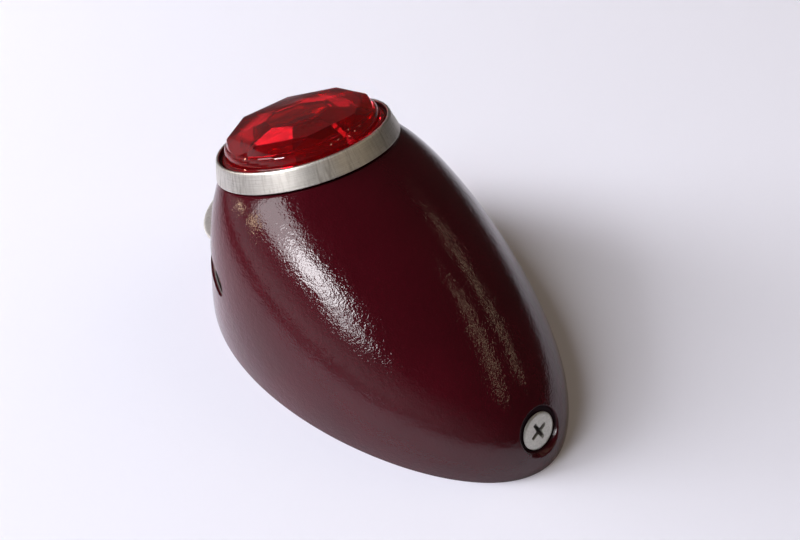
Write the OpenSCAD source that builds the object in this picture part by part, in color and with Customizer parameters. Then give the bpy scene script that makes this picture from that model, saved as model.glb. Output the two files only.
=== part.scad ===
// Teardrop tail lamp for a motorcycle: a pressed steel housing with a tilted neck,
// a press-on bezel with a faceted jewel lens, and a bulb holder on a base plate.
// +X points to the nose, +Z away from the mudguard, and z = 0 is the housing's rim.

/* [Housing] */
// Length of the housing along its rim
base_len = 113; // [105:1:122]
// Width of the rim at the middle of its length
base_w = 73; // [68:1:80]
// How much fuller the rim is towards the lens end
egg = 0.18; // [0.08:0.01:0.24]
// Thickness of the pressed sheet
wall = 1; // [0.7:0.1:1.3]
// Distance from the middle of the rim back to the centre of the neck
neck_back = 31.2; // [28:0.2:33]
// Height of the neck's centre above the rim
neck_z = 40; // [38:0.5:44]
// Tilt of the neck towards the lens end, in degrees
neck_tilt = 22; // [16:1:26]
// Diameter of the housing at the neck
neck_d = 47.6; // [46.8:0.2:49]
// Height over which the wall stays upright at the nose, the sides and the lens end
foot_rise = [27, 13.5, 6]; // [4:0.5:30]
// Length of the wall's run into the neck at the nose, the sides and the lens end
neck_run = [4.5, 16, 10]; // [4:0.5:18]
// Flare of the wall below the neck at the nose, the sides and the lens end, in degrees
neck_flare = [46, 45, 19]; // [15:1:50]

/* [Plate light window] */
// Lower edge of the window slot
slot_z = 15; // [14:0.5:16]
// Height of the window slot
slot_h = 6; // [4.4:0.2:6.4]
// Distance from the middle of the rim back to the near end of the slot
slot_back = 24.2; // [20:0.2:28]
// Thickness of the clear pane
pane_t = 1; // [0.8:0.1:1.5]
// Thickness of the hood's sheet
hood_t = 0.8; // [0.6:0.1:1]
// Half width of the hood
hood_half_w = 26.8; // [25:0.2:28]
// Distance that the hood stands out past its own middle
hood_reach = 16.5; // [15.5:0.1:17]

/* [Bezel and lens] */
// Diameter of the bezel at its lower edge
bezel_d = 48; // [47.6:0.1:49]
// Diameter of the bezel at its lip
bezel_top_d = 45; // [44.8:0.1:45.6]
// Height of the bezel
bezel_h = 5; // [4.6:0.1:6]
// Gap under the bezel's lower edge
bezel_gap = 0.6; // [0.4:0.1:0.9]
// Thickness of the bezel's sheet
bezel_t = 0.7; // [0.6:0.05:0.8]
// Diameter of the collar that the bezel is pressed on
collar_d = 45.3; // [44.8:0.1:45.6]
// Diameter of the opening in the neck
opening_d = 40.6; // [38:0.2:41]
// Diameter of the lens where it leaves the bezel
drum_d = 41.2; // [40:0.2:41.6]
// Diameter of the drum's upper edge
drum_top_d = 37.6; // [36:0.2:38.4]
// Number of facets round the lens
facets = 8; // [6:1:10]
// Diameter across the corners of the main facets
crown_d = 35.6; // [34:0.2:36.4]
// Diameter across the corners of the table
table_d = 19; // [14:0.5:24]
// Height of the table above the neck
table_h = 11.8; // [11.4:0.1:13]
// Height of the main corners above the neck
crown_h = 10.3; // [9.8:0.1:10.6]
// Height of the drum's upper edge above the neck
drum_h = 8.2; // [7.8:0.1:8.6]
// Turn of the facets about the lens axis, in degrees
facet_turn = 20; // [0:1:45]

/* [Base and fasteners] */
// Thickness of the base plate
plate_t = 1.2; // [1:0.1:1.6]
// Height of the base plate's underside above the rim
plate_lift = 1; // [0.9:0.1:1.4]
// Height of the base plate's upturned edge
plate_edge_h = 3.2; // [2.6:0.1:3.6]
// Spacing of the two mounting holes
mount_spacing = 50; // [44:1:54]
// Diameter of the mounting holes
mount_hole_d = 5.5; // [4.5:0.1:6.5]
// Diameter of the cable's hole through the grommet
cable_d = 5; // [4:0.2:6]
// Thread diameter of the nose screw
screw_d = 5; // [4.6:0.1:5.2]
// Head diameter of the nose screw
screw_head_d = 9.3; // [8.8:0.1:9.5]
// Length of the nose screw under its head
screw_len = 14; // [12:0.5:16]
// Angle of the nose screw above the rim plane, in degrees
screw_rise = 23; // [18:1:28]
// Diameter of the dimple level with the screw's head
dimple_d = 11.4; // [11:0.1:11.8]
// Depth of the screw's head behind the nose's ridge
head_inset = 1.4; // [1.2:0.1:2]

/* [Bulb and holder] */
// Diameter of the bulb's cap
cap_d = 15; // [14.6:0.1:15.2]
// Diameter of the bulb's globe
globe_d = 19; // [17:0.5:20]
// Length of the bulb
bulb_len = 37.5; // [36:0.5:39]
// Height of the bulb's axis above the rim
bulb_z = 21; // [20:0.5:22]
// Distance from the middle of the rim back to the globe's centre
globe_back = 23.5; // [22:0.5:25]
// Thickness of the holder's shell
shell_t = 0.6; // [0.5:0.05:0.8]
// Thickness of the bracket
bracket_t = 1.2; // [1:0.1:1.6]
// Width of the bracket
bracket_w = 21; // [20:0.5:24]
// Wire diameter of the contact spring
spring_wire = 0.8; // [0.6:0.05:0.9]
// Turns of the contact spring
spring_turns = 4; // [3:1:4]
// How far the bulb can be pushed in
push_travel = 1.5; // [1:0.1:1.6]

/* [Hidden] */

// Fineness of the lofted housing: steps round it and steps up the wall
round_steps = 72;
rise_steps = 15;
round_fn = 64;
small_fn = 32;
eps = 0.01;
big = 200;

// Clearances between pieces
seat_gap = 0.1;
slide_gap = 0.05;
plate_gap = 0.35;
loose_gap = 0.35;

// Three-value rule round the housing: value at the nose, at the sides and at the lens end
function around(v, t) =
    let (c2 = (v[0] + v[2]) / 4 - v[1] / 2, c1 = (v[0] - v[2]) / 2, c0 = v[1] + c2)
    c0 + c1 * cos(t) + c2 * cos(2 * t);
function unit(v) = v / norm(v);

// Axes of the neck: along its tilt towards the nose, and out through the lens
neck_u = [cos(neck_tilt), 0, sin(neck_tilt)];
neck_n = [-sin(neck_tilt), 0, cos(neck_tilt)];
neck_c = [-neck_back, 0, neck_z];

// Rim of the housing, an egg that is fuller at the lens end, and the neck's circle
function rim_pt(t) =
    [base_len / 2 * cos(t), base_w / 2 * sin(t) * (1 - egg * cos(t)), 0];
function neck_pt(t) = neck_c + neck_d / 2 * (cos(t) * neck_u + sin(t) * [0, 1, 0]);

// The wall between them is a cubic curve that leaves the rim upright and meets the neck
// at the flare's angle
function flare_dir(t) =
    let (f = around(neck_flare, t))
    -cos(f) * neck_n + sin(f) * (cos(t) * neck_u + sin(t) * [0, 1, 0]);
function wall_pt(t, s) =
    let (a = rim_pt(t), d = neck_pt(t),
        b = a + around(foot_rise, t) * [0, 0, 1],
        c = d + around(neck_run, t) * flare_dir(t))
    pow(1 - s, 3) * a + 3 * pow(1 - s, 2) * s * b + 3 * (1 - s) * s * s * c + pow(s, 3) * d;

// Outward normal of the wall, from its slopes round and up
function wall_normal(t, s) =
    let (lo = max(0, s - 0.01), hi = min(1, s + 0.01),
        round_way = wall_pt(t + 0.5, s) - wall_pt(t - 0.5, s),
        up_way = s == 0 ? [0, 0, 1] : wall_pt(t, hi) - wall_pt(t, lo))
    unit(cross(round_way, up_way));
function inset_pt(t, s, depth) = wall_pt(t, s) - depth * wall_normal(t, s);

// Place up the wall at which an inset curve passes height z, found by halving
function rise_at(t, z, depth, lo = 0, hi = 1, n = 14) =
    n == 0 ? (lo + hi) / 2 :
    let (m = (lo + hi) / 2)
    inset_pt(t, m, depth)[2] < z ? rise_at(t, z, depth, m, hi, n - 1)
        : rise_at(t, z, depth, lo, m, n - 1);
function level_pt(t, z, depth) = inset_pt(t, rise_at(t, z, depth), depth);
function level_curve(z, depth, steps = round_steps) =
    [for (i = [0 : steps - 1]) let (p = level_pt(360 * i / steps, z, depth)) [p[0], p[1]]];

// Closed surface through rings of points, each ring with n points, first and last ring joined
function ring_loop_faces(n, m) =
    [for (j = [0 : m - 1], i = [0 : n - 1], k = [0, 1])
        let (a = j * n + i, b = j * n + (i + 1) % n,
            c = ((j + 1) % m) * n + (i + 1) % n, d = ((j + 1) % m) * n + i)
        k == 0 ? [a, c, b] : [a, d, c]];
// Capped tube through rings of points
function tube_faces(n, m) =
    concat(
        [for (j = [0 : m - 2], i = [0 : n - 1], k = [0, 1])
            let (a = j * n + i, b = j * n + (i + 1) % n,
                c = (j + 1) * n + (i + 1) % n, d = (j + 1) * n + i)
            k == 0 ? [a, c, b] : [a, d, c]],
        [[for (i = [0 : n - 1]) i]],
        [[for (i = [n - 1 : -1 : 0]) (m - 1) * n + i]]);

module at_neck() {
    translate(neck_c) rotate([0, -neck_tilt, 0]) children();
}

// Nose screw axis, which starts at the middle of the head's flat face
screw_z = 9.75;
screw_at = [level_pt(0, screw_z, 0)[0] - head_inset, 0, screw_z];
head_rim = 0.35;
module at_screw() {
    translate(screw_at) rotate([0, 90 - screw_rise, 0]) children();
}

// Bezel, collar and lens heights, measured from the neck plane
collar_h = 1.6;
ledge_t = 0.8;
gasket_h = collar_h + seat_gap;
flange_h = gasket_h + 0.9;
flange_t = 1.3;
flange_d = 44.4;
bezel_taper = (bezel_d - bezel_top_d) / 2 / bezel_h;
bezel_top = bezel_gap + bezel_h;
function bezel_r(h) = bezel_d / 2 - bezel_taper * (h - bezel_gap);

// Pieces on the bulb's axis, measured from the globe's centre towards the nose
contact_x = bulb_len - globe_d / 2 - globe_back;
pin_back = 6.7;
pin_d = 2;
cap_len = 16;
socket_in_r = cap_d / 2 + 0.15;
socket_out_r = socket_in_r + shell_t;
socket_mouth_x = contact_x - 13.5;
carrier_t = 2.4;
contact_head_t = 0.8;
carrier_x = contact_x + slide_gap + contact_head_t;
spring_len = 6;
spring_x = carrier_x + carrier_t;
insulator_x = spring_x + spring_len;
insulator_t = 1.6;
socket_end_x = insulator_x + insulator_t + shell_t;
stem_r = 1.2;
bracket_x = contact_x - 2.5;
module along_bulb() {
    translate([0, 0, bulb_z]) rotate([0, 90, 0]) children();
}

// Base plate levels
plate_top = plate_lift + plate_t;
edge_top = plate_lift + plate_edge_h;
ear_w = 10.4;
ear_back = 4.6;
ear_t = 1.5;
nut_t = 4;
nut_flats = 8;
hook_x = 7.5 - base_len / 2;
hook_top = 7.3;
hook_reach = 3.6;
hook_w = 10.4;
tab_gap = 0.3;
ear_window = 10.6;
hook_window = 9;
grommet_at = [14, base_w / 2 - 17.5];
foot_len = 15;
rivet_r = 1.5;

// Pressed shell of the housing
module loft_solid() {
    pts = [for (j = [0 : rise_steps], i = [0 : round_steps - 1])
        wall_pt(360 * i / round_steps, j / rise_steps)];
    polyhedron(pts, tube_faces(round_steps, rise_steps + 1), convexity = 6);
}

module loft_shell() {
    up = [for (j = [0 : rise_steps], i = [0 : round_steps - 1])
        wall_pt(360 * i / round_steps, j / rise_steps)];
    down = [for (j = [rise_steps : -1 : 0], i = [0 : round_steps - 1])
        inset_pt(360 * i / round_steps, j / rise_steps, wall)];
    polyhedron(concat(up, down), ring_loop_faces(round_steps, 2 * (rise_steps + 1)), convexity = 8);
}

// The dimple has a flat floor round the head and under its face, and its mouth sits a little
// above the screw's axis. A cone narrows from the floor to the shank's hole.
seat_r = screw_head_d / 2 + slide_gap;
hole_r = screw_d / 2 + 0.3;
seat_fall = seat_r - hole_r;
dimple_open = 0.5;
dimple_reach = 4;
dimple_lift = 0.6;
dimple_floor = 0.6;
module dimple_hollow() {
    r = dimple_d / 2;
    translate([-dimple_lift, 0, 0]) rotate_extrude($fn = round_fn) polygon([
        [0, dimple_reach], [r + dimple_open * dimple_reach, dimple_reach],
        [r - dimple_open * dimple_floor, -dimple_floor], [0, -dimple_floor]]);
    rotate_extrude($fn = round_fn) polygon([
        [0, 0], [seat_r, 0], [seat_r, -head_rim],
        [hole_r, -head_rim - seat_fall], [hole_r, -12], [0, -12]]);
}

module dimple_cup() {
    r = dimple_d / 2 + wall;
    lap = wall * 0.4;
    cone_r = seat_r + head_rim + lap - dimple_floor;
    translate([-dimple_lift, 0, 0]) rotate_extrude($fn = round_fn) polygon([
        [0, dimple_reach], [r + dimple_open * dimple_reach, dimple_reach], [r, 0],
        [r - lap, -dimple_floor], [cone_r + dimple_lift + 0.1, -dimple_floor - wall],
        [0, -dimple_floor - wall]]);
    rotate_extrude($fn = round_fn) polygon([
        [0, -dimple_floor], [cone_r, -dimple_floor], [cone_r, -dimple_floor - wall],
        [hole_r + wall, -head_rim - lap - seat_fall], [hole_r + wall, -head_rim - wall - seat_fall],
        [0, -head_rim - wall - seat_fall]]);
}

module collar() {
    rotate_extrude($fn = 96) polygon([
        [collar_d / 2 - wall, -1.8], [collar_d / 2 + 0.35, -1.2], [neck_d / 2 - 0.05, -0.7],
        [neck_d / 2 - 0.05, 0], [collar_d / 2, 0], [collar_d / 2, collar_h - 0.25],
        [collar_d / 2 - 0.25, collar_h], [opening_d / 2, collar_h],
        [opening_d / 2, collar_h - ledge_t], [collar_d / 2 - wall, collar_h - ledge_t]]);
}

module window_cut() {
    r = slot_h / 2;
    translate([-slot_back - r, 0, slot_z + r]) rotate([90, 0, 0])
        cylinder(r = r, h = big, center = true, $fn = small_fn);
    translate([-slot_back - r - big, -big / 2, slot_z]) cube([big, big, slot_h]);
}

module housing() {
    color("#5a1a28") difference() {
        union() {
            loft_shell();
            at_neck() collar();
            intersection() {
                loft_solid();
                at_screw() dimple_cup();
            }
        }
        at_screw() dimple_hollow();
        window_cut();
    }
}

// Hood over the plate light window, let into the top of the slot
hood_x = -(base_len / 2 - hood_reach);
module window_hood() {
    top = slot_z + slot_h - slide_gap;
    rim = 5.2;
    steps = 24;
    outer = [for (i = [0 : steps]) let (t = 90 + 180 * i / steps)
        [hood_x + hood_reach * cos(t), hood_half_w * sin(t)]];
    inner = [for (i = [steps : -1 : 0]) let (t = 90 + 180 * i / steps)
        [hood_x + (hood_reach - rim) * cos(t), (hood_half_w - rim) * sin(t)]];
    color("#8f8b84") translate([0, 0, top - hood_t]) linear_extrude(hood_t)
        polygon(concat(outer, inner));
}

// Clear pane, bent to the inside of the wall behind the slot
pane_from = 97;
pane_low = slot_z - 1.8;
pane_high = slot_z + slot_h - slide_gap - hood_t - 0.3;
module window_pane() {
    steps = 40;
    rings = [for (i = [0 : steps]) let (t = pane_from + (360 - 2 * pane_from) * i / steps,
        lo = level_pt(t, pane_low, wall + seat_gap),
        hi = level_pt(t, pane_high, wall + seat_gap),
        nl = wall_normal(t, rise_at(t, pane_low, wall + seat_gap)),
        nh = wall_normal(t, rise_at(t, pane_high, wall + seat_gap)))
        [lo, hi, hi - pane_t * nh, lo - pane_t * nl]];
    color("#dfe8e6", 0.5)
        polyhedron([for (r = rings, p = r) p], tube_faces(4, steps + 1), convexity = 4);
}

// Spring clips that hold the pane's lower edge against the wall, each in a frame whose
// x axis runs inwards from the wall and whose z axis runs up it
clip_turns = [125, 155, 205, 235];
clip_w = 5;
clip_t = 0.5;
clip_leg = 4.6;
clip_hold = 2.6;
module at_wall(t, z) {
    p = level_pt(t, z, wall);
    n = wall_normal(t, rise_at(t, z, wall));
    translate(p) rotate([0, 0, atan2(-n[1], -n[0])]) rotate([0, asin(n[2]), 0]) children();
}

module pane_clip(t) {
    seat = 0.2;
    step_in = pane_t + seat_gap;
    at_wall(t, pane_low - seat_gap) translate([seat, -clip_w / 2, 0]) {
        translate([0, 0, -clip_leg]) cube([clip_t, clip_w, clip_leg]);
        translate([0, 0, -clip_t]) cube([step_in + clip_t, clip_w, clip_t]);
        translate([step_in, 0, -clip_t]) cube([clip_t, clip_w, clip_hold + clip_t]);
    }
}

module pane_clips() {
    color("#b9a25a") for (t = clip_turns) pane_clip(t);
}

// Angle inside the lens end that hooks under the base plate's tongue
catch_t = 1;
catch_h = 5.2;
catch_gap = 0.4;
catch_z = hook_top - catch_t - catch_gap - catch_t;
module inside_wall(z) {
    translate([0, 0, -big / 2]) linear_extrude(big) polygon(level_curve(z, wall + seat_gap));
}

module rear_catch() {
    x_top = level_pt(180, catch_z + catch_h, wall + seat_gap)[0];
    shelf_end = hook_x - catch_t - catch_gap;
    color("#9a9a98") {
        intersection() {
            translate([-base_len / 2, -hook_w / 2, catch_z])
                cube([shelf_end + base_len / 2, hook_w, catch_t]);
            inside_wall(catch_z + catch_t);
        }
        intersection() {
            translate([-base_len / 2, -hook_w / 2, catch_z])
                cube([x_top + 0.5 + catch_t + base_len / 2, hook_w, catch_h]);
            inside_wall(catch_z + catch_h);
        }
    }
}

// Bezel: a tapered band with its lip folded inwards, which slides over the collar
module bezel_ring() {
    lip_in = bezel_top_d / 2 - 2 * bezel_t + 0.1;
    lip_low = flange_h + flange_t;
    land = 1;
    color("#b4aea4") at_neck() rotate_extrude($fn = 128) polygon([
        [collar_d / 2 + slide_gap, bezel_gap],
        [bezel_r(bezel_gap) - 0.25, bezel_gap],
        [bezel_r(bezel_gap + 0.3), bezel_gap + 0.3],
        [bezel_r(bezel_top - 0.3), bezel_top - 0.3],
        [bezel_top_d / 2 - 0.35, bezel_top],
        [lip_in + 0.3, bezel_top],
        [lip_in, bezel_top - 0.3],
        [lip_in, lip_low],
        [bezel_r(lip_low) - bezel_t, lip_low],
        [bezel_r(bezel_gap + land) - bezel_t, bezel_gap + land],
        [collar_d / 2 + slide_gap, bezel_gap + land]]);
}

// Facet planes: each falls outwards from a point at radius r and height h
module facet_cuts(turn, r, h, fall) {
    for (i = [0 : facets - 1])
        rotate([0, 0, turn + 360 * i / facets]) translate([r, 0, h]) rotate([0, fall, 0])
            translate([-big / 2, -big / 2, 0]) cube([big, big, big / 2]);
}

// Jewel lens: flange, round drum, crown facets, main and star facets, flat table,
// and a hollow back whose roof is cut in facets that fall between the outer ones
half_turn = 180 / facets;
crown_mid = crown_d / 2 * cos(half_turn);
table_mid = table_d / 2 * cos(half_turn);
module lens() {
    crown_fall = atan2(crown_h - drum_h, drum_top_d / 2 - crown_mid);
    main_fall = atan2(table_h - crown_h, crown_mid - table_d / 2);
    star_fall = atan2(table_h - crown_h, crown_d / 2 - table_mid);
    drum_low = flange_h + flange_t;
    lean = (drum_d - drum_top_d) / 2 / (drum_h - drum_low);
    color("#a80f1c", 0.75) at_neck() difference() {
        rotate_extrude($fn = 96) polygon([
            [0, flange_h], [flange_d / 2, flange_h], [flange_d / 2, drum_low],
            [drum_d / 2, drum_low], [drum_d / 2 - lean * (table_h - drum_low), table_h],
            [0, table_h]]);
        facet_cuts(facet_turn + half_turn, crown_mid, crown_h, crown_fall);
        facet_cuts(facet_turn + half_turn, crown_mid, crown_h, main_fall);
        facet_cuts(facet_turn, crown_d / 2, crown_h, star_fall);
        lens_hollow();
    }
}

back_r = 17;
back_h = 6.4;
module lens_hollow() {
    difference() {
        translate([0, 0, flange_h - 1])
            cylinder(r1 = back_r, r2 = back_r - 1, h = back_h + 1.6 - flange_h + 1, $fn = 96);
        facet_cuts(facet_turn, back_r * cos(half_turn), back_h - 0.6, 14);
    }
}

module lens_gasket() {
    color("#1d1b1b") at_neck() difference() {
        translate([0, 0, gasket_h])
            cylinder(r = collar_d / 2 - 0.85, h = flange_h - gasket_h, $fn = 96);
        translate([0, 0, gasket_h - 1]) cylinder(r = opening_d / 2 + 0.1, h = 3, $fn = 96);
    }
}

// Split wire ring that keeps the lens in the bezel
wire_d = 0.8;
module lens_retaining_wire() {
    mid = flange_h - wire_d / 2 - slide_gap;
    r = bezel_r(mid) - bezel_t - wire_d / 2 - slide_gap;
    color("#8d8a86") at_neck() translate([0, 0, mid])
        rotate([0, 0, 8]) rotate_extrude(angle = 344, $fn = 96)
            translate([r, 0]) circle(d = wire_d, $fn = 16);
}

// Base plate: a tray that lies inside the rim, with an ear for the nose screw
module plate_outline(depth) {
    polygon(level_curve(edge_top, depth));
}

module base_plate() {
    edge = wall + plate_gap;
    color("#9b9d9f") {
        difference() {
            translate([0, 0, plate_lift]) linear_extrude(plate_edge_h) plate_outline(edge);
            translate([0, 0, plate_top]) linear_extrude(plate_edge_h) plate_outline(edge + plate_t);
            for (s = [-1, 1]) translate([s * mount_spacing / 2, 0, 0])
                cylinder(d = mount_hole_d, h = 10, $fn = small_fn);
            translate([grommet_at[0], grommet_at[1], 0])
                cylinder(d = cable_d + 5 + slide_gap, h = 10, $fn = small_fn);
            for (x = rivet_xs()) translate([x, 0, 0])
                cylinder(r = rivet_r + 0.02, h = 10, $fn = small_fn);
            translate([ear_window_x() - ear_window, -ear_w / 2 - tab_gap, 0])
                cube([ear_window, ear_w + 2 * tab_gap, 10]);
            translate([hook_x, -hook_w / 2 - tab_gap, 0])
                cube([hook_window, hook_w + 2 * tab_gap, 10]);
        }
        nose_ear();
        rear_hook();
    }
}

// Where the ear's back meets the floor
function ear_foot_x() =
    screw_at[0] - ear_back * cos(screw_rise)
    + (screw_at[2] - ear_back * sin(screw_rise) - plate_top) * tan(screw_rise);
function ear_window_x() = ear_foot_x() - ear_t / cos(screw_rise) - 0.2;

module nose_ear() {
    difference() {
        at_screw() translate([0, 0, -ear_back - ear_t]) {
            cylinder(d = ear_w, h = ear_t, $fn = small_fn);
            translate([0, -ear_w / 2, 0]) cube([14, ear_w, ear_t]);
        }
        at_screw() cylinder(r = hole_r, h = 40, center = true, $fn = small_fn);
        translate([-big / 2, -big / 2, plate_lift - big]) cube([big, big, big]);
    }
}

module rear_hook() {
    translate([hook_x - catch_t, -hook_w / 2, plate_lift]) cube([catch_t, hook_w, hook_top - plate_lift]);
    translate([hook_x - hook_reach, -hook_w / 2, hook_top - catch_t])
        cube([hook_reach, hook_w, catch_t]);
}

module captive_nut() {
    color("#8c8e90") at_screw() translate([0, 0, -ear_back - ear_t - nut_t]) difference() {
        rotate([0, 0, 30]) cylinder(d = nut_flats / cos(30), h = nut_t, $fn = 6);
        translate([0, 0, -1]) cylinder(r = screw_d / 2 + 0.05, h = nut_t + 2, $fn = small_fn);
    }
}

// Countersunk screw with a cross recess
cross_turn = 20;
module nose_screw() {
    r = screw_head_d / 2;
    shank = screw_d / 2;
    cone_low = -head_rim - (r - shank);
    bevel = 0.12;
    point = 0.6;
    color("#cfd2d6") at_screw() difference() {
        rotate_extrude($fn = round_fn) polygon([
            [0, 0], [r - bevel, 0], [r, -bevel], [r, -head_rim],
            [shank, cone_low], [shank, -screw_len + point], [shank - point, -screw_len],
            [0, -screw_len]]);
        for (a = [0, 90], k = [[4.8, 0.5], [3.2, 1.3]])
            rotate([0, 0, cross_turn + a]) translate([-k[0] / 2, -0.55, -k[1]]) cube([k[0], 1.1, 2]);
    }
}

module cable_grommet() {
    r = cable_d / 2;
    color("#1b1b1c") translate([grommet_at[0], grommet_at[1], 0]) rotate_extrude($fn = small_fn) polygon([
        [r, 0.1], [r + 3.6, 0.1], [r + 3.9, 0.4], [r + 3.9, plate_lift - 0.02],
        [r + 2.5, plate_lift - 0.02], [r + 2.5, plate_top + 0.02], [r + 3.9, plate_top + 0.02],
        [r + 3.6, plate_top + 1.2], [r + 1.6, plate_top + 2.6], [r, plate_top + 2.6]]);
}

// Bracket with its foot on the base plate and its upright round the socket
function rivet_xs() = [for (k = [0.32, 0.78]) bracket_x + bracket_t + foot_len * k];
module holder_bracket() {
    top_r = bracket_w / 2;
    color("#a7a9ab") difference() {
        union() {
            translate([bracket_x, 0, bulb_z]) rotate([0, 90, 0])
                cylinder(r = top_r, h = bracket_t, $fn = round_fn);
            translate([bracket_x, -top_r, plate_top]) cube([bracket_t, bracket_w, bulb_z - plate_top]);
            translate([bracket_x, -top_r + 2, plate_top])
                cube([bracket_t + foot_len, bracket_w - 4, bracket_t]);
        }
        translate([bracket_x - 1, 0, bulb_z]) rotate([0, 90, 0])
            cylinder(r = socket_out_r + 0.02, h = bracket_t + 2, $fn = round_fn);
        for (x = rivet_xs()) translate([x, 0, 0])
            cylinder(r = rivet_r + 0.02, h = 10, $fn = small_fn);
    }
}

module bracket_rivets() {
    low = plate_lift - 0.7;
    top = plate_top + bracket_t;
    color("#b08d57") for (x = rivet_xs()) translate([x, 0, 0]) rotate_extrude($fn = small_fn) polygon([
        [0, low], [2.2, low], [2.5, plate_lift], [rivet_r, plate_lift], [rivet_r, top],
        [2.6, top], [2.2, top + 0.8], [1.2, top + 1.3], [0, top + 1.4]]);
}

// Bayonet socket: a tube with two L-shaped slots for the bulb's pins
pin_x = contact_x - pin_back;
pin_turn = 90;
twist = 18;
module sector_cut(from, to, low, high) {
    reach = socket_out_r + 2;
    start = socket_in_r / 2;
    translate([0, 0, low]) linear_extrude(high - low) polygon([
        start * [cos(from), sin(from)], reach * [cos(from), sin(from)],
        reach * [cos(to), sin(to)], start * [cos(to), sin(to)]]);
}
module pin_slot() {
    room = pin_d / 2 + 0.1;
    a = asin(room / socket_in_r);
    sector_cut(-a, twist + a, pin_x - room, pin_x + room + push_travel);
    sector_cut(twist - a, twist + a, socket_mouth_x - 1, pin_x);
}

module socket_shell() {
    color("#b7a06a") along_bulb() difference() {
        rotate_extrude($fn = round_fn) polygon([
            [socket_in_r, socket_mouth_x], [socket_out_r, socket_mouth_x],
            [socket_out_r, socket_end_x], [4, socket_end_x], [4, socket_end_x - shell_t],
            [socket_in_r, socket_end_x - shell_t]]);
        for (a = [0, 180]) rotate([0, 0, pin_turn + a]) pin_slot();
    }
}

module socket_insulator() {
    color("#2b1a14") along_bulb() difference() {
        translate([0, 0, insulator_x])
            cylinder(r = socket_in_r - 0.05, h = insulator_t - 0.02, $fn = round_fn);
        translate([0, 0, insulator_x - 1]) cylinder(r = stem_r + 0.1, h = 4, $fn = small_fn);
    }
}

// Contact spring: one round wire wound in a helix between the insulator and the carrier
spring_r = 4.6;
spring_run = spring_len - spring_wire - 2 * seat_gap;
function spring_path(k, n) =
    let (a = 360 * spring_turns * k / n)
    [spring_r * cos(a), spring_r * sin(a), spring_x + seat_gap + spring_wire / 2 + spring_run * k / n];
module contact_spring() {
    sides = 6;
    n = 8 * spring_turns;
    pts = [for (k = [0 : n]) let (a = 360 * spring_turns * k / n, c = spring_path(k, n))
        for (j = [0 : sides - 1]) let (b = 360 * j / sides)
            c + spring_wire / 2 * [cos(a) * cos(b), sin(a) * cos(b), sin(b)]];
    pitch = spring_run / spring_turns;
    echo(least_gap_between_turns = pitch - spring_wire);
    color("#a9acb0") along_bulb() polyhedron(pts, tube_faces(sides, n + 1), convexity = 10);
}

// Insulated carrier that slides in the socket with the centre contact through it
module contact_carrier() {
    color("#3a2219") along_bulb() difference() {
        translate([0, 0, carrier_x]) cylinder(r = socket_in_r - 0.1, h = carrier_t, $fn = round_fn);
        translate([0, 0, carrier_x - 1]) cylinder(r = stem_r + 0.02, h = carrier_t + 2, $fn = small_fn);
    }
}

tail_x = socket_end_x + 6;
module centre_contact() {
    color("#c9a24a") along_bulb() rotate_extrude($fn = small_fn) polygon([
        [0, contact_x + slide_gap], [2, contact_x + slide_gap], [2.6, carrier_x - 0.4],
        [2.6, carrier_x - 0.02], [stem_r, carrier_x - 0.02], [stem_r, tail_x], [0, tail_x]]);
}

module terminal_nut() {
    x = tail_x - 3.6;
    color("#c2a55a") along_bulb() {
        difference() {
            translate([0, 0, x]) cylinder(d = 4.5 / cos(30), h = 2, $fn = 6);
            translate([0, 0, x - 1]) cylinder(r = stem_r + 0.02, h = 4, $fn = small_fn);
        }
        difference() {
            translate([0, 0, x - 0.52]) cylinder(r = 2.6, h = 0.5, $fn = small_fn);
            translate([0, 0, x - 1]) cylinder(r = stem_r + 0.02, h = 4, $fn = small_fn);
        }
    }
}

// Bulb: brass cap with two pins, glass globe on its neck, stem and filament
neck_glass_r = 6.2;
globe_r = globe_d / 2;
glass_t = 0.7;
cap_x = contact_x - 1.2;
module bulb_cap() {
    r = cap_d / 2;
    t = 0.4;
    color("#c7a95c") along_bulb() {
        rotate_extrude($fn = round_fn) polygon([
            [r - t, cap_x - cap_len], [r, cap_x - cap_len], [r, cap_x - 0.8], [r - 0.8, cap_x],
            [4, cap_x], [4, cap_x - t], [r - t - 0.5, cap_x - t], [r - t, cap_x - t - 0.6]]);
        for (a = [0, 180]) rotate([0, 0, pin_turn + a]) translate([r - 0.2, 0, pin_x]) rotate([0, 90, 0])
            cylinder(d = pin_d, h = 1.3, $fn = small_fn);
    }
}

// Outline of the glass: a globe that runs into a straight neck inside the cap
function glass_profile(r_globe, r_neck, x_end) =
    let (a0 = asin(r_neck / r_globe), steps = 14)
    concat(
        [for (i = [0 : steps]) let (a = 180 - (180 - a0) * i / steps)
            [r_globe * sin(a), -globe_back + r_globe * cos(a)]],
        [[r_neck, x_end], [0, x_end]]);
module bulb_glass() {
    color("#e9eef0", 0.35) along_bulb() difference() {
        rotate_extrude($fn = round_fn) polygon(glass_profile(globe_r, neck_glass_r, cap_x - 4));
        rotate_extrude($fn = round_fn) polygon(
            glass_profile(globe_r - glass_t, neck_glass_r - glass_t, cap_x - 4.8));
    }
}

module bulb_insulator() {
    color("#141416") along_bulb() difference() {
        translate([0, 0, cap_x - 1.6]) cylinder(r1 = 3.9, r2 = 3.6, h = 2.2, $fn = small_fn);
        translate([0, 0, cap_x - 2]) cylinder(r = 1.02, h = 4, $fn = small_fn);
    }
}

module bulb_contact() {
    color("#b8bcc0") along_bulb() rotate_extrude($fn = small_fn) polygon([
        [0, cap_x - 1.4], [1, cap_x - 1.4], [1, cap_x + 0.62], [2.2, cap_x + 0.62],
        [2, cap_x + 1], [1.2, contact_x], [0, contact_x]]);
}

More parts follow.
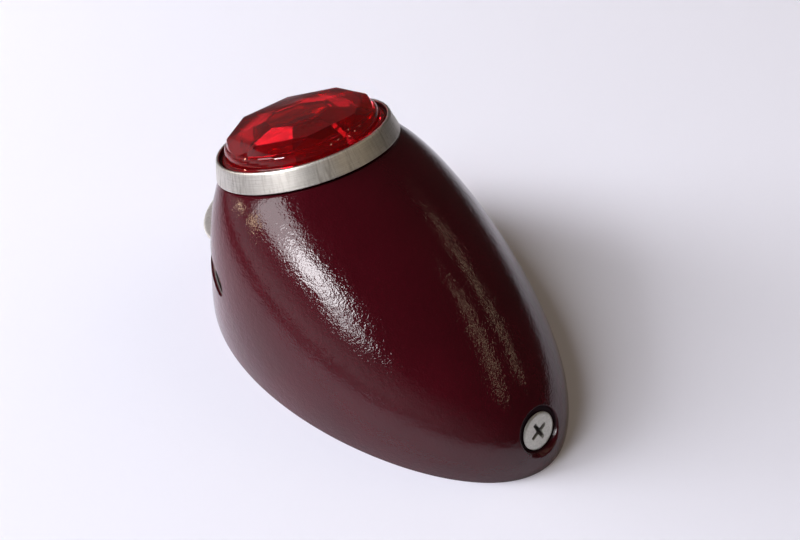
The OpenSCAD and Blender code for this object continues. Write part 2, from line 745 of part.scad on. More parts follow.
// Glass stem with two support wires that rise to the filament
post_r = 0.25;
post_y = 2.4;
stem_top_x = -globe_back + 8.5;
module bulb_stem() {
    color("#cfd6d8") along_bulb() {
        translate([0, 0, stem_top_x])
            cylinder(r1 = 1.6, r2 = 2.6, h = cap_x - 5 - stem_top_x, $fn = small_fn);
        for (s = [-1, 1]) {
            translate([0, s * post_y, -globe_back])
                cylinder(r = post_r, h = stem_top_x + globe_back + 1, $fn = 16);
            translate([0, s * (post_y + post_r), stem_top_x + 1]) rotate([s * 90, 0, 0])
                cylinder(r = post_r, h = post_y, $fn = 16);
        }
    }
}

// Coiled filament between the posts, drawn as one fine helix
module filament() {
    coils = 7;
    sides = 6;
    n = 8 * coils;
    r = 0.55;
    wire = 0.24;
    span = 2 * post_y - 2 * post_r - wire - 0.04;
    pts = [for (k = [0 : n]) let (a = 360 * coils * k / n, y = -span / 2 + span * k / n)
        for (j = [0 : sides - 1]) let (b = 360 * j / sides)
            [(r + wire / 2 * cos(b)) * cos(a), y + wire / 2 * sin(b), (r + wire / 2 * cos(b)) * sin(a)]];
    color("#d8d4cc") along_bulb() translate([0, 0, -globe_back + 1])
        polyhedron(pts, tube_faces(sides, n + 1), convexity = 10);
}

housing();
window_hood();
window_pane();
pane_clips();
rear_catch();
bezel_ring();
lens();
lens_gasket();
lens_retaining_wire();
base_plate();
captive_nut();
nose_screw();
cable_grommet();
holder_bracket();
bracket_rivets();
socket_shell();
socket_insulator();
contact_spring();
contact_carrier();
centre_contact();
terminal_nut();
bulb_cap();
bulb_glass();
bulb_insulator();
bulb_contact();
bulb_stem();
filament();
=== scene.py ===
"""Teardrop motorcycle tail lamp: its dressed pieces and finishes, the floor, the lamps and
the camera. Shapes are worked out in millimetres and become metres in the mesh."""
import math

import bmesh
import bpy
import numpy as np
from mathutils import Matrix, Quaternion, Vector


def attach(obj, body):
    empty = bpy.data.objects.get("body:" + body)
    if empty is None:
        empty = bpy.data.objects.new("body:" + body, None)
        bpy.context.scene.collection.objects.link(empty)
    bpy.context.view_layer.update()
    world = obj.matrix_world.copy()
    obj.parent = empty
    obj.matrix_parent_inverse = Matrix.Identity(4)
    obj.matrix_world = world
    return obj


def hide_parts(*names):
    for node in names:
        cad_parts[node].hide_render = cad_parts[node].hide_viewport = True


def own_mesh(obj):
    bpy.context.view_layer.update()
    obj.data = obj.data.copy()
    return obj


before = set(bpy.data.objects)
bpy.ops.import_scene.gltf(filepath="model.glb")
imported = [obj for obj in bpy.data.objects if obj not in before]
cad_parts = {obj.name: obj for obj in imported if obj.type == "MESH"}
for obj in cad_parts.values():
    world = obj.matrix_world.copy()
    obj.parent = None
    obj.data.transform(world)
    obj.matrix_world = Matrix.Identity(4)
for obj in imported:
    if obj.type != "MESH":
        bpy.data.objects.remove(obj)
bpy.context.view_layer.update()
scene = bpy.context.scene
join = np.concatenate

MM = 0.001
TURN = 2 * math.pi

# Housing: length and width of its rim, how far the rim narrows to the nose, the wall's thickness
BASE_LEN, BASE_W, EGG, WALL = 113, 73, 0.18, 1.0
# At the nose, sides and lens end: height of the foot's control point, how far the other one is
# from the neck, and the wall's angle in degrees to the neck's axis
FOOT_RISE = (27, 13.5, 6)
NECK_RUN = (4.5, 16, 10)
NECK_FLARE = (46, 45, 19)
NECK_R = 23.8
NECK_C = np.array([-31.2, 0.0, 40.0])
TILT = math.radians(22)
NECK_U = np.array([math.cos(TILT), 0.0, math.sin(TILT)])
NECK_N = np.array([-math.sin(TILT), 0.0, math.cos(TILT)])
SIDE = np.array([0.0, 1.0, 0.0])
UP = np.array([0.0, 0.0, 1.0])

# Plate light window: its lowest and middle height, its round end's radius and middle
SLOT_LOW, SLOT_MID, SLOT_R, SLOT_END_X = 15.0, 18.0, 3.0, -27.2

# Nose screw: the rise of its axis, its height on the wall, how deep the head's face lies, the
# head's and the shank's radius, and the height of the head's rim
SCREW_RISE = math.radians(23)
SCREW_Z, HEAD_INSET = 9.75, 1.4
HEAD_R, SHANK_R, HEAD_RIM = 4.65, 2.5, 0.35


# Frames that profiles stand in
def axes(origin, x_way, z_way):
    """A placing rule: point (x, y, z) goes to origin + x of x_way + y of (z_way cross x_way)
    + z of z_way."""
    origin, x_way, z_way = (np.array(v, float) for v in (origin, x_way, z_way))
    turn = np.stack([x_way, np.cross(z_way, x_way), z_way])
    return lambda points: origin + points @ turn


on_neck = axes(NECK_C, NECK_U, NECK_N)
on_bulb = axes((0, 0, 21), (0, 0, -1), (1, 0, 0))
upright = axes((0, 0, 0), (1, 0, 0), (0, 0, 1))


# Mesh making
def linked(name, data):
    """A new object of a mesh, lamp or camera, in the scene."""
    obj = bpy.data.objects.new(name, data)
    scene.collection.objects.link(obj)
    return obj


def piece(name, points, faces, body, stands_for, uv=None, values=None, sharp=30):
    """One finished object from points in millimetres and faces, tied to its body and the solids it
    stands for. uv holds a pair for each point, values a number for each point of each named
    field, and sharp is a hard edge's angle."""
    mesh = bpy.data.meshes.new(name)
    mesh.from_pydata((points * MM).tolist(), [], faces)
    mesh.validate()
    mesh.polygons.foreach_set("use_smooth", np.ones(len(mesh.polygons), bool))
    mesh.set_sharp_from_angle(angle=math.radians(sharp))
    if uv is not None:
        corner = np.zeros(len(mesh.loops), np.int32)
        mesh.loops.foreach_get("vertex_index", corner)
        mesh.uv_layers.new(name="UVMap").data.foreach_set("uv", uv[corner].ravel())
    for field, numbers in (values or {}).items():
        mesh.attributes.new(field, "FLOAT", "POINT").data.foreach_set("value", numbers)
    obj = linked(name, mesh)
    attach(obj, body)
    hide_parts(*stands_for)
    return obj


def eased(obj, width, angle):
    """Rounds the edges of an object whose faces meet at more than the angle."""
    bevel = obj.modifiers.new("eased", "BEVEL")
    bevel.width, bevel.segments = width * MM, 2
    bevel.limit_method, bevel.angle_limit = "ANGLE", math.radians(angle)
    return obj


def ring_quads(ids):
    """Quads between rows of point ids. Each row is a closed ring."""
    after = np.roll(ids, -1, 1)
    return np.stack([ids[:-1], after[:-1], after[1:], ids[1:]], -1).reshape(-1, 4)


def grid_quads(rows, cols, wrap=False):
    """Quads between rings of cols points that are numbered row by row. wrap joins the last row
    to the first as well."""
    ids = np.arange(rows * cols).reshape(rows, cols)
    return ring_quads(np.vstack([ids, ids[:1]]) if wrap else ids)


def fan(start, count, tip, forward):
    """Triangles from a ring of points, whose ids count up from start, to the tip's id."""
    i = np.arange(count)
    here, after = start + i, start + (i + 1) % count
    pair = (here, after) if forward else (after, here)
    return np.stack([*pair, np.full(count, tip)], -1).tolist()


def circles(r, h, a):
    """Points (r cos a, r sin a, h): a row for each radius and height, a column for each turn."""
    return np.stack(np.broadcast_arrays(r * np.cos(a), r * np.sin(a), h), -1)


def unit(v):
    """Each vector over its own length."""
    return v / np.linalg.norm(v, axis=-1, keepdims=True)


def curve(start, middle, stop, steps):
    """A quadratic curve that leaves start towards middle and comes to stop from there: points
    (1 - k)^2 start + 2 k (1 - k) middle + k^2 stop."""
    k = np.linspace(0, 1, steps + 1).reshape((-1,) + (1,) * np.ndim(start))
    return (1 - k) ** 2 * start + 2 * k * (1 - k) * middle + k ** 2 * stop


def fillet(corners, steps=4, closed=False):
    """A profile with rounded corners, each given as r, h and rounding: a corner gives way to a
    curve that touches both of its legs. No curve takes more than a set share of a leg."""
    most, tiny = 0.45, 1e-12
    p, r = np.split(np.array(corners, float), [2], axis=1)
    before, after = np.roll(p, 1, 0), np.roll(p, -1, 0)
    leg_a = np.linalg.norm(before - p, axis=1)[:, None] + tiny
    leg_b = np.linalg.norm(after - p, axis=1)[:, None] + tiny
    cut = np.minimum(r, most * np.minimum(leg_a, leg_b))
    a, b = p + cut * (before - p) / leg_a, p + cut * (after - p) / leg_b
    arcs = curve(a, p, b, steps).transpose(1, 0, 2)
    if closed:
        return arcs.reshape(-1, 2)
    return join([p[:1], arcs[1:-1].reshape(-1, 2), p[-1:]])


def turned(profile, place, steps, closed=False):
    """A profile of (r, h) carried round its axis: points (r cos a, r sin a, h) for equal turns a.
    A profile end on the axis becomes one point with triangles. Gives points, faces and uv, where
    u is the length round the widest ring and v is the length along the profile."""
    profile = np.asarray(profile, float)
    on_axis = 1e-9
    a = TURN * np.arange(steps) / steps
    poles = [k for k in (0, -1) if not closed and profile[k, 0] < on_axis]
    body = profile[(1 if 0 in poles else 0):(-1 if -1 in poles else None)]
    points = circles(body[:, :1], body[:, 1:], a).reshape(-1, 3)
    run = join([[0], np.cumsum(np.linalg.norm(np.diff(body, axis=0), axis=1))])
    widest = body[:, 0].max()
    uv = np.stack(np.broadcast_arrays(a * widest, run[:, None]), -1).reshape(-1, 2)
    faces = grid_quads(len(body), steps, wrap=closed).tolist()
    for k in poles:
        faces += fan(0 if k == 0 else (len(body) - 1) * steps, steps, len(points), forward=k != 0)
        points = np.vstack([points, [[0, 0, profile[k, 1]]]])
        uv = np.vstack([uv, [[0, run[k]]]])
    return place(points), faces, uv


def tube(path, radius, place, sides):
    """A round wire: circles of the radius carried along a path, each square to it. Each end is
    closed by a dome of three shrinking rings and a small flat face."""
    off_path = np.array([0.123, 0.456, 0.881])
    dome = np.radians([80, 55, 25])
    way = unit(np.gradient(path, axis=0))
    side = unit(np.cross(way, off_path))
    over = np.cross(way, side)
    lift, shrunk = np.sin(dome) * radius, radius * np.cos(dome)
    head, foot = path[0] - lift[:, None] * way[0], path[-1] + lift[::-1, None] * way[-1]
    path = np.vstack([head, path, foot])
    r = join([shrunk, np.full(len(way), radius), shrunk[::-1]])[:, None, None]
    side, over = (np.vstack([np.repeat(v[:1], 3, 0), v, np.repeat(v[-1:], 3, 0)])[:, None]
                  for v in (side, over))
    b = (TURN * np.arange(sides) / sides)[:, None]
    points = (path[:, None] + r * (np.cos(b) * side + np.sin(b) * over)).reshape(-1, 3)
    last = len(points) - sides
    faces = grid_quads(len(path), sides).tolist()
    faces += [list(range(sides))[::-1], list(range(last, last + sides))]
    return place(points), faces


def smooth_step(x):
    """0 below 0, 1 above 1, and the curve 3x^2 - 2x^3 between."""
    x = np.clip(x, 0, 1)
    return x * x * (3 - 2 * x)


def bell(x):
    """1 at 0, 0 beyond -1 and 1, and half a cosine wave between."""
    return 0.5 + 0.5 * np.cos(np.pi * np.clip(x, -1, 1))


def soft_min(a, b, k):
    """The lower of a and b, rounded over a width k where they cross."""
    h = np.clip(0.5 + 0.5 * (b - a) / k, 0, 1)
    return b * (1 - h) + a * h - k * h * (1 - h)


def halved(low, high, before):
    """The place between low and high where the test before(place) stops being true, by halving."""
    rounds = 26
    for _ in range(rounds):
        mid = (low + high) / 2
        short = before(mid)
        low, high = np.where(short, mid, low), np.where(short, high, mid)
    return (low + high) / 2


# The housing's wall
def around(values, t):
    """Nose, side and lens end values joined round the housing by cosines of t and of 2t."""
    c2 = (values[0] + values[2]) / 4 - values[1] / 2
    c1 = (values[0] - values[2]) / 2
    return values[1] + c2 + c1 * np.cos(t) + c2 * np.cos(2 * t)


def wall_point(t, s):
    """The wall: a cubic curve in s from the egg-shaped rim at t, upright at its foot, to the
    tilted neck circle at t, which it meets at the flare's angle."""
    t, s = np.broadcast_arrays(t, s)
    cos, sin = np.cos(t)[..., None], np.sin(t)[..., None]
    rim = join([BASE_LEN / 2 * cos, BASE_W / 2 * sin * (1 - EGG * cos), 0 * cos], -1)
    out = cos * NECK_U + sin * SIDE
    neck = NECK_C + NECK_R * out
    flare = np.radians(around(NECK_FLARE, t))[..., None]
    low = rim + around(FOOT_RISE, t)[..., None] * UP
    high = neck + around(NECK_RUN, t)[..., None] * (np.sin(flare) * out - np.cos(flare) * NECK_N)
    s = s[..., None]
    return ((1 - s) ** 3 * rim + 3 * (1 - s) ** 2 * s * low + 3 * (1 - s) * s ** 2 * high
            + s ** 3 * neck)


def wall_normal(t, s):
    """Outward normal: the slope round the wall cross the slope up it, by small differences."""
    step = 1e-4
    low, high = np.maximum(s - step, 0), np.minimum(s + step, 1)
    return unit(np.cross(wall_point(t + step, s) - wall_point(t - step, s),
                         wall_point(t, high) - wall_point(t, low)))


def rise_to(t, z):
    """The s at which the wall passes height z."""
    return halved(0.0, 1.0, lambda s: wall_point(t, s)[..., 2] < z)


SCREW_AT = np.array([wall_point(0, rise_to(0.0, SCREW_Z))[0] - HEAD_INSET, 0, SCREW_Z])
SCREW_OUT = np.array([math.cos(SCREW_RISE), 0, math.sin(SCREW_RISE)])
SCREW_DOWN = np.array([math.sin(SCREW_RISE), 0, -math.cos(SCREW_RISE)])
on_screw = axes(SCREW_AT, SCREW_DOWN, SCREW_OUT)


def slot_end_turn(z):
    """The t at which the wall at height z passes the slot's round end."""
    x = SLOT_END_X + np.sqrt(np.maximum(SLOT_R ** 2 - (z - SLOT_MID) ** 2, 0))
    return halved(1.0, 3.0, lambda t: wall_point(t, rise_to(t, z))[..., 0] > x)


# The wall's grid: columns round it, how much they crowd at the nose, and rows under, through
# and over the slot
COLS, CROWDING = 288, 0.32
ROWS_LOW, ROWS_SLOT, ROWS_HIGH = 22, 16, 46
# Columns are drawn to the slot's end: how far round from it, from what height, over what rise
# to the full, and over what share of the upper rows that fades
DRAW_REACH, DRAW_FROM, DRAW_RISE, DRAW_FADE = math.radians(26), 6, 9, 0.6


def wall_grid():
    """The wall's own grid: columns are closer at the nose, and one is drawn over to lie on the
    slot's end. Rows are level up to the slot, follow the slot's rounding through it, and then
    share out the way to the neck."""
    u = np.arange(COLS) / COLS
    base = TURN * u - CROWDING * np.sin(TURN * u)
    bend = np.radians(np.linspace(-90, 90, ROWS_SLOT + 1))
    z = join([np.linspace(0, SLOT_LOW, ROWS_LOW + 1)[:-1], SLOT_MID + SLOT_R * np.sin(bend)])
    end = slot_end_turn(np.maximum(z, SLOT_LOW))
    column = int(np.argmin(np.abs(base - end[ROWS_LOW:].mean())))
    drawn = base[column]
    fade = smooth_step(1 - np.arange(1, ROWS_HIGH + 1) / (DRAW_FADE * ROWS_HIGH))
    pull = join([smooth_step((z - DRAW_FROM) / DRAW_RISE) * (end - drawn),
                 (end[-1] - drawn) * fade])
    t = base + pull[:, None] * (bell((base - drawn) / DRAW_REACH)
                                - bell((base - (TURN - drawn)) / DRAW_REACH))
    s = rise_to(t[:len(z)], z[:, None])
    share = np.linspace(0, 1, ROWS_HIGH + 1)[1:, None]
    s = join([s, s[-1] + (1 - s[-1]) * share])
    s[0], s[-1] = 0, 1
    return t, s, column


def across_screw(t, s):
    """A wall point seen along the screw's axis: its place down, sideways and outwards."""
    v = wall_point(t, s) - SCREW_AT
    return v @ SCREW_DOWN, v @ SIDE, v @ SCREW_OUT


def wall_under(down, side, t, s):
    """The t and s of the wall over a spot on the screw's plane, by Newton steps from a guess."""
    step, rounds = 1e-5, 14
    for _ in range(rounds):
        d0, y0, _h = across_screw(t, s)
        dt, yt, _h = across_screw(t + step, s)
        ds, ys, _h = across_screw(t, s + step)
        a, b, c, d = (dt - d0) / step, (ds - d0) / step, (yt - y0) / step, (ys - y0) / step
        det = a * d - b * c
        fd, fy = down - d0, side - y0
        t = t + (d * fd - b * fy) / det
        s = np.clip(s + (a * fy - c * fd) / det, 0, 1)
    return t, s


# Dimple round the screw: radius of its wall at the head's face, how far that opens for each
# millimetre of rise, how far its axis is above the screw's, and its floor's depth
DIMPLE_R, DIMPLE_OPEN, DIMPLE_LIFT, DIMPLE_FLOOR = 5.7, 0.5, 0.6, 0.6
# Radius of the head's seat and of the hole, and how softly the wall meets floor and rim
SEAT_R, HOLE_R, FLOOR_SOFT, RIM_SOFT = 4.67, 2.8, 0.35, 0.5

# The dimple's patch fills a window of the grid: columns to each side of the nose, and rows
PATCH_HALF, PATCH_LOW, PATCH_HIGH = 20, 2, ROWS_LOW + 8
# Its first circle, the circles inwards of that, and the one inside which it is all dimple
PATCH_R, DIMPLE_ALONE = 7.6, 5.3
PATCH_RADII = join([np.arange(7.4, 6.75, -0.2), np.arange(6.7, 5.35, -0.08),
                    np.arange(5.3, 4.65, -0.13), [4.52, 4.42, 4.2, 3.8, 3.3, HOLE_R]])


def dimple_height(down, side):
    """Height of the dimple over the head's face: a cone seat under the head, a flat floor round
    it, and a wall that opens outwards about an axis a little above the screw's."""
    seat = -HEAD_RIM - (SEAT_R - np.hypot(down, side))
    wall = (np.hypot(down + DIMPLE_LIFT, side) - DIMPLE_R) / DIMPLE_OPEN
    return np.minimum(seat, -soft_min(DIMPLE_FLOOR, -wall, FLOOR_SOFT))


def dimple_patch(edge_t, edge_s):
    """Rings of points inwards from the window's edge, and the share of painted shade each takes.
    Five rings shrink along the wall to a circle. The circles from there to the shank's hole lie on
    the lower of wall and dimple, and their middles move up to the dimple's axis and back."""
    moved_from, moved_to, moved_over, painted_shade_r, painted_shade_soft = 7.5, 4.6, 0.7, 6.0, 0.5
    down, side, _h = across_screw(edge_t, edge_s)
    turn, guess = np.arctan2(side, down), 0.85 * edge_t
    t, s = wall_under(PATCH_R * np.cos(turn), PATCH_R * np.sin(turn), guess, edge_s)
    shares = np.linspace(0, 1, 6)[1:]
    rings = [wall_point(edge_t + (t - edge_t) * k, edge_s + (s - edge_s) * k) for k in shares]
    lifts = DIMPLE_LIFT * np.minimum(np.clip((moved_from - PATCH_RADII) / moved_over, 0, 1),
                                     np.clip((PATCH_RADII - moved_to) / moved_over, 0, 1))
    for radius, lift in zip(PATCH_RADII, lifts):
        down, side = radius * np.cos(turn) - lift, radius * np.sin(turn)
        height = dimple_height(down, side)
        if radius > DIMPLE_ALONE:
            t, s = wall_under(down, side, t, s)
            height = soft_min(across_screw(t, s)[2], height, RIM_SOFT)
        rings.append(on_screw(np.stack([down, side, height], -1)))
    # Painted shade: full on the dimple's wall, floor and seat inside 6 mm of the screw's axis
    painted_shade = smooth_step((painted_shade_r - PATCH_RADII) / painted_shade_soft)
    return rings, join([np.zeros(len(shares)), painted_shade])


def window_edge(t, s):
    """The grid's points round the patch's window, in order: their ids, their t, below zero on
    one side of the nose, and their s."""
    i, j = np.arange(-PATCH_HALF, PATCH_HALF), np.arange(PATCH_LOW, PATCH_HIGH)
    wide, tall = np.ones_like(i), np.ones_like(j)
    row = join([PATCH_LOW * wide, j, PATCH_HIGH * wide, PATCH_HIGH + PATCH_LOW - j])
    col = join([i, PATCH_HALF * tall, -i, -PATCH_HALF * tall]) % COLS
    edge_t = t[row, col]
    return row * COLS + col, np.where(edge_t > math.pi, edge_t - TURN, edge_t), s[row, col]


def open_edges(quads, total):
    """The edges, as pairs of point ids, that no second face runs back along."""
    ends = np.stack([quads, np.roll(quads, -1, 1)], -1).reshape(-1, 2)
    forth, back = ends[:, 0] * total + ends[:, 1], ends[:, 1] * total + ends[:, 0]
    return ends[~np.isin(forth, back)]


def neck_collar(t):
    """Ledge, collar, lip and the collar's inside: a profile carried round the neck by turns t."""
    profile = fillet([(23.8, 0, 0), (22.65, 0.02, 0.12), (22.65, 1.6, 0.25), (20.3, 1.6, 0.12),
                      (20.3, 0.8, 0.12), (21.6, 0.8, 0.1), (21.6, -1.3, 0.2), (22.6, -1.1, 0)])[1:]
    r, h = profile[:, 0][:, None, None], profile[:, 1][:, None, None]
    spread = np.cos(t)[:, None] * NECK_U + np.sin(t)[:, None] * SIDE
    return (NECK_C + r * spread + h * NECK_N).reshape(-1, 3)


def housing_shell():
    """The pressed shell: the wall's grid with the slot left out, a round patch for the dimple
    set into it, the same surface again one wall's thickness inwards along the normals, a neck
    profile that joins the two at the top, and strips along every other open edge."""
    t, s, slot_col = wall_grid()
    rows = len(t)
    outer, normal = wall_point(t, s).reshape(-1, 3), wall_normal(t, s).reshape(-1, 3)
    keep = np.ones((rows - 1, COLS), bool)
    keep[ROWS_LOW:ROWS_LOW + ROWS_SLOT, slot_col:COLS - slot_col] = False
    keep[PATCH_LOW:PATCH_HIGH, np.arange(-PATCH_HALF, PATCH_HALF) % COLS] = False

    edge, edge_t, edge_s = window_edge(t, s)
    patch, nook = dimple_patch(edge_t, edge_s)
    rings = np.stack([outer[edge], *patch])
    slope = np.cross(np.roll(rings, -1, 1) - np.roll(rings, 1, 1), np.gradient(rings, axis=0))
    points = join([outer, rings[1:].reshape(-1, 3)])
    normals = join([normal, unit(slope)[1:].reshape(-1, 3)])
    count, total = len(outer), len(points)
    ring_ids = np.vstack([edge, np.arange(count, total).reshape(-1, len(edge))])
    quads = join([grid_quads(rows, COLS)[keep.ravel()], ring_quads(ring_ids)])

    inner = points - WALL * normals
    both = join([quads, quads[:, ::-1] + total])
    ends = open_edges(quads, total)
    top = (rows - 1) * COLS
    at_top = (ends >= top).all(1) & (ends < top + COLS).all(1)
    a, b = ends[~at_top].T
    strips = np.stack([b, a, a + total, b + total], -1)

    collar = neck_collar(t[-1])
    top_ids = top + np.arange(COLS)
    collar_ids = 2 * total + np.arange(len(collar)).reshape(-1, COLS)
    neck = ring_quads(np.vstack([top_ids, collar_ids, top_ids + total]))

    every = join([points, inner, collar])
    inside = np.repeat([0, 1, 0.3], [total, total, len(collar)])
    # nook: the share of painted shade in the screw's dimple, none elsewhere
    nook = join([np.zeros(count), np.repeat(nook, len(edge))])
    nook = join([nook, nook, np.zeros(len(collar))])
    ids, used = np.unique(join([both, strips, neck]), return_inverse=True)
    obj = piece("housing_shell", every[ids], used.reshape(-1, 4).tolist(), "lamp",
                ("housing",), values={"inside": inside[ids], "nook": nook[ids]}, sharp=44)
    return eased(obj, 0.16, angle=50)


# The bezel's band: height of its foot, its outer radius there, how that falls with height, and
# its wall's thickness
BAND_FOOT, BAND_R, BAND_TAPER, BAND_WALL = 0.6, 24, 0.3, 0.7


def band_r(h):
    """Outer radius of the bezel's band at a height over the neck's plane."""
    return BAND_R - BAND_TAPER * (h - BAND_FOOT)


def bezel_band():
    """The bezel's profile carried round the neck: a tapered band with a rolled lower edge and a
    thin rounded rim, whose inner side drops to a lip over the lens flange."""
    top, lip_r, lip_low, foot_in, foot_top = 5.6, 21.2, 3.9, 22.75, 1.6
    top_r, steps = band_r(top), 256
    profile = fillet([
        (foot_in, BAND_FOOT, 0.1), (band_r(BAND_FOOT), BAND_FOOT, 0.25), (band_r(1.0), 1.0, 0.15),
        (band_r(5.1), 5.1, 0.45), (top_r - 0.1, top, 0.35), (top_r - 0.62, top, 0.25),
        (21.78, 5.2, 0.3), (21.7, 4.4, 0.1), (lip_r, 4.3, 0.1), (lip_r, lip_low, 0.1),
        (band_r(lip_low) - BAND_WALL, lip_low, 0.3), (band_r(foot_top) - BAND_WALL, foot_top, 0.3),
        (foot_in, foot_top, 0.1)], steps=5, closed=True)
    points, faces, uv = turned(profile, on_neck, steps, closed=True)
    # inner: where the rim's inner side takes painted shade
    fade = 0.25
    inner = (smooth_step((top_r - 0.45 - profile[:, 0]) / fade)
             * smooth_step((5.55 - profile[:, 1]) / fade))
    return piece("bezel_band", points, faces, "bezel", ("bezel_ring",), uv=uv,
                 values={"inner": np.repeat(inner, steps)}, sharp=50)


FACETS, FACET_TURN = 8, math.radians(20)
HALF = math.pi / FACETS


def trimmed(mesh, turn, radius, height, fall):
    """Cuts a mesh by one plane for each facet: the plane passes a point at the radius and
    height, and falls outwards at the angle. Each cut is closed by one flat face."""
    for k in range(FACETS):
        a = turn + TURN * k / FACETS
        spot = Vector((radius * math.cos(a), radius * math.sin(a), height))
        way = Vector((math.sin(fall) * math.cos(a), math.sin(fall) * math.sin(a), math.cos(fall)))
        parts = mesh.verts[:] + mesh.edges[:] + mesh.faces[:]
        cut = bmesh.ops.bisect_plane(mesh, geom=parts, dist=1e-5, plane_co=spot, plane_no=way,
                                     clear_outer=True)
        edges = [e for e in cut["geom_cut"] if isinstance(e, bmesh.types.BMEdge)]
        if edges:
            bmesh.ops.edgenet_fill(mesh, edges=edges)


def facet_body(profile, steps, cuts):
    """A turned profile, closed at its top, trimmed by sets of facet planes."""
    points, faces, _uv = turned(profile, upright, steps)
    mesh = bmesh.new()
    spots = [mesh.verts.new(p) for p in points]
    for face in faces:
        mesh.faces.new([spots[k] for k in face])
    for cut in cuts:
        trimmed(mesh, *cut)
    return mesh


def merged(mesh, apart):
    """Joins a bmesh's points that are closer than apart, and drops faces and edges of no size."""
    bmesh.ops.remove_doubles(mesh, verts=mesh.verts[:], dist=apart)
    bmesh.ops.dissolve_degenerate(mesh, edges=mesh.edges[:], dist=apart)


def unpacked(mesh):
    """The points and faces of a bmesh, which is then freed."""
    mesh.verts.index_update()
    spots = np.array([v.co for v in mesh.verts])
    faces = [[v.index for v in f.verts] for f in mesh.faces]
    mesh.free()
    return spots, faces


def jewel_lens():
    """The pressed glass: flange, round step, drum, eight crown facets, eight main facets, eight
    star facets and a table over a hollow back with facets of its own. Both bodies are turned
    profiles trimmed by planes. The drum's wall swells as a quadratic curve."""
    steps = 192
    crown_r, crown_h, table_r, table_h = 17.8, 10.3, 8.6, 11.2
    shoulder_r, shoulder_h = 18.8, 8.2
    hollow_r, hollow_foot, roof_r, roof_h = 17, 2.6, 16, 8.8
    back_h, back_fall = 4.0, math.radians(30)
    crown_mid, table_mid = crown_r * math.cos(HALF), table_r * math.cos(HALF)
    drum = curve(np.array([20.05, 5.2]), np.array([19.95, 7.85]), np.array([18.9, 8.1]), 8)
    outside = [(hollow_r, hollow_foot), (22.05, 2.6), (22.2, 2.75), (22.2, 3.7), (22.0, 3.9),
               (21.15, 3.9), (21.1, 4.0), (21.1, 4.55), (20.98, 4.82), (20.7, 4.98),
               (20.35, 5.03), (20.15, 5.08), *drum.tolist(), (17.7, table_h), (0, table_h)]
    between = FACET_TURN + HALF, crown_mid, crown_h
    outer = facet_body(outside, steps, [
        (*between, math.atan2(crown_h - shoulder_h, shoulder_r - crown_mid)),
        (*between, math.atan2(table_h - crown_h, crown_mid - table_r)),
        (FACET_TURN, crown_r, crown_h, math.atan2(table_h - crown_h, crown_r - table_mid))])
    inner = facet_body([(hollow_r, hollow_foot), (roof_r, roof_h), (0, roof_h)], steps, [
        (FACET_TURN + 0.35 * HALF, hollow_r * math.cos(HALF), back_h, back_fall)])
    bmesh.ops.reverse_faces(inner, faces=inner.faces[:])
    hollow = bpy.data.meshes.new("hollow")
    inner.to_mesh(hollow)
    inner.free()
    outer.from_mesh(hollow)
    bpy.data.meshes.remove(hollow)
    merged(outer, 0.004)
    spots, faces = unpacked(outer)
    return piece("jewel_lens", on_neck(spots), faces, "bezel", ("lens",), sharp=3.2)


# Hood and screw
def hood_plate():
    """The hood: a rounded bar section carried over the crescent between two half ellipses.
    Across the crescent the section runs from the inner ellipse to the outer one, and its upper
    and lower skins meet in half rounds. Both ends are closed."""
    centre_x, low, thick, flats = -40.0, 20.15, 0.8, 9
    near, far, rounding = 0.08, 0.92, 0.08
    t = np.radians(np.linspace(90, 270, 73))
    bend = np.radians(np.linspace(-90, 90, 7))[1:-1]
    across = join([np.linspace(near, far, flats), far + rounding * np.cos(bend),
                   np.linspace(far, near, flats), near - rounding * np.cos(bend)])
    lift = join([np.full(flats, -1), np.sin(bend), np.full(flats, 1), -np.sin(bend)])
    inner, outer = (np.stack([centre_x + half_len * np.cos(t), half_w * np.sin(t)], -1)
                    for half_len, half_w in ((11.3, 21.6), (16.5, 26.8)))
    flat = inner[:, None] + across[None, :, None] * (outer - inner)[:, None]
    z = np.broadcast_to(low + thick / 2 * (1 + lift), flat.shape[:2])
    points = join([flat, z[..., None]], -1)
    cols = len(across)
    last = (len(t) - 1) * cols
    faces = grid_quads(len(t), cols)[:, ::-1].tolist()
    faces += [list(range(cols)), list(range(last, last + cols))[::-1]]
    return piece("hood_plate", points.reshape(-1, 3), faces, "lamp",
                 ("window_hood",), sharp=50)


def recess_depth(x, y):
    """Depth of the cross recess at a spot of the head: along two crossed wings the floor falls
    from the tips to the middle, and the wings' sides are steep and slightly worn."""
    tip_depth, fall, hollow = 0.45, 1.75, 0.8
    half_wide, widening, side_soft = 0.38, 0.16, 0.14
    half_long, tip_soft = 2.5, 0.16

    def wing(along, over):
        floor = tip_depth + fall * np.clip(1 - np.abs(along) / 2.45, 0, 1) ** hollow
        wide = half_wide + widening * np.clip(1 - np.abs(along) / 2.4, 0, 1)
        side = smooth_step((wide + side_soft / 2 - np.abs(over)) / side_soft)
        return floor * side * smooth_step((half_long - np.abs(along)) / tip_soft)
    return np.maximum(wing(x, y), wing(y, x))


